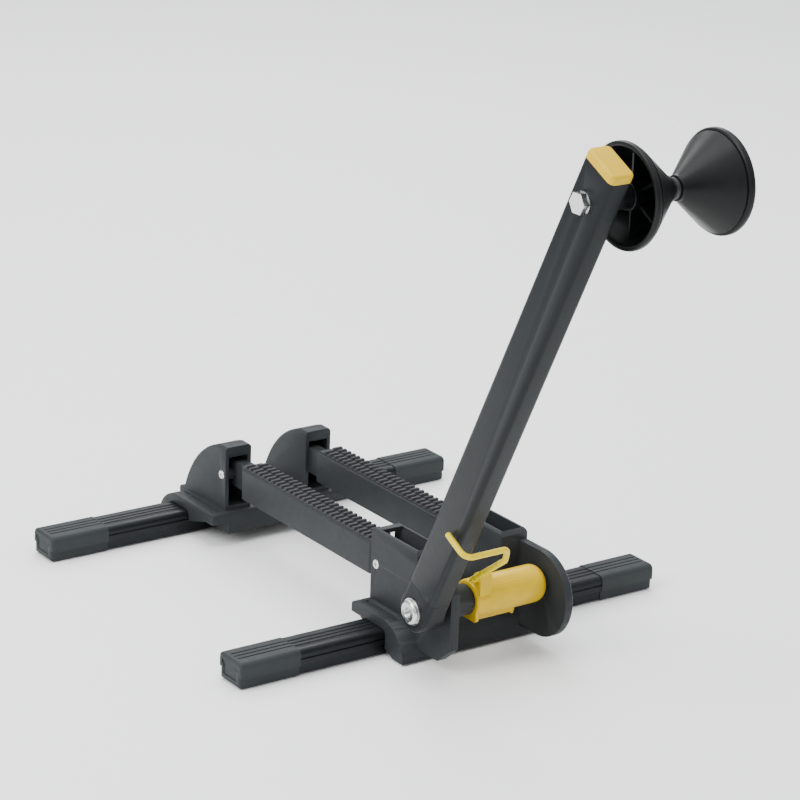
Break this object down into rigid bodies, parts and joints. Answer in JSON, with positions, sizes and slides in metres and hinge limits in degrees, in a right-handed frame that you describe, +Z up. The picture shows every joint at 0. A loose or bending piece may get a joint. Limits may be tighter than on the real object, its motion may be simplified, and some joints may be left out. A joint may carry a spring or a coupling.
{
  "type": "bicycle floor stand",
  "caption": "Floor stand that holds a bicycle wheel in a slot between ribbed rails on cross feet, steadied by opposed tyre cones on a folding arm with a pedal and a wire bail.",
  "frame": {"origin": "on the floor, under the middle of the stand's outline", "axes": "+Z up, +Y along the rails towards the front of the bicycle, +X to the bicycle's right"},
  "size_m": [0.357, 0.5472, 0.4101],
  "materials": {
    "foot_paint": "satin black",
    "cap_plastic": "fine moulded grain",
    "pad_rubber": "matt",
    "housing_plastic": "fine moulded grain, charcoal",
    "tread_rubber": "matt",
    "bright_steel": "zinc plated",
    "dark_steel": "blackened",
    "nylon": "natural nylon",
    "arm_paint": "satin charcoal",
    "roller_plastic": "satin black",
    "yellow_plastic": "smooth yellow",
    "yellow_wire": "yellow coating"
  },
  "bodies": {
    "stand": {"rear_foot_bar": "foot_paint", "front_foot_bar": "foot_paint", "foot_bolts": "dark_steel", "rear_left_end_cap": "cap_plastic", "rear_right_end_cap": "cap_plastic", "front_left_end_cap": "cap_plastic", "front_right_end_cap": "cap_plastic", "rear_left_floor_pad": "pad_rubber", "rear_right_floor_pad": "pad_rubber", "front_left_floor_pad": "pad_rubber", "front_right_floor_pad": "pad_rubber", "front_block": "housing_plastic", "rear_block": "housing_plastic", "left_rail": "housing_plastic", "right_rail": "housing_plastic", "left_rail_tread": "tread_rubber", "right_rail_tread": "tread_rubber", "rail_screws": "bright_steel", "pivot_bolt": "bright_steel", "pivot_washer": "bright_steel", "pivot_nut": "bright_steel", "arm_spacer": "nylon", "pedal_spring": "dark_steel"},
    "arm": {"arm_tube": "arm_paint", "arm_knuckle": "arm_paint", "arm_bush": "nylon", "arm_top_cap": "yellow_plastic", "roller_axle": "bright_steel", "axle_nut": "bright_steel", "axle_washer": "bright_steel", "axle_spacer": "dark_steel", "centre_washer": "nylon"},
    "left_cone": {"left_roller": "roller_plastic", "left_roller_bush": "nylon"},
    "right_cone": {"right_roller": "roller_plastic", "right_roller_bush": "nylon"},
    "pedal": {"pedal": "yellow_plastic"},
    "bail": {"wire_bail": "yellow_wire"}
  },
  "joints": [
    {"name": "arm_fold", "type": "hinge", "parent": "stand", "child": "arm", "pos_m": [-0.05975, -0.078, 0.0505], "axis": [-1, 0, 0], "range_deg": [0, 113]},
    {"name": "left_cone_spin", "type": "hinge", "parent": "arm", "child": "left_cone", "pos_m": [-0.019, -0.23963, 0.37609], "axis": [1, 0, 0], "continuous": true},
    {"name": "right_cone_spin", "type": "hinge", "parent": "arm", "child": "right_cone", "pos_m": [0.019, -0.23963, 0.37609], "axis": [1, 0, 0], "continuous": true},
    {"name": "pedal_press", "type": "hinge", "parent": "stand", "child": "pedal", "pos_m": [0.008, -0.078, 0.0505], "axis": [1, 0, 0], "range_deg": [0, 20], "stiffness_Nm_per_rad": 0.5, "springref_deg": -14.32},
    {"name": "bail_swing", "type": "hinge", "parent": "pedal", "child": "bail", "pos_m": [-0.017, -0.087, 0.068], "axis": [1, 0, 0], "range_deg": [0, 45]}
  ]
}
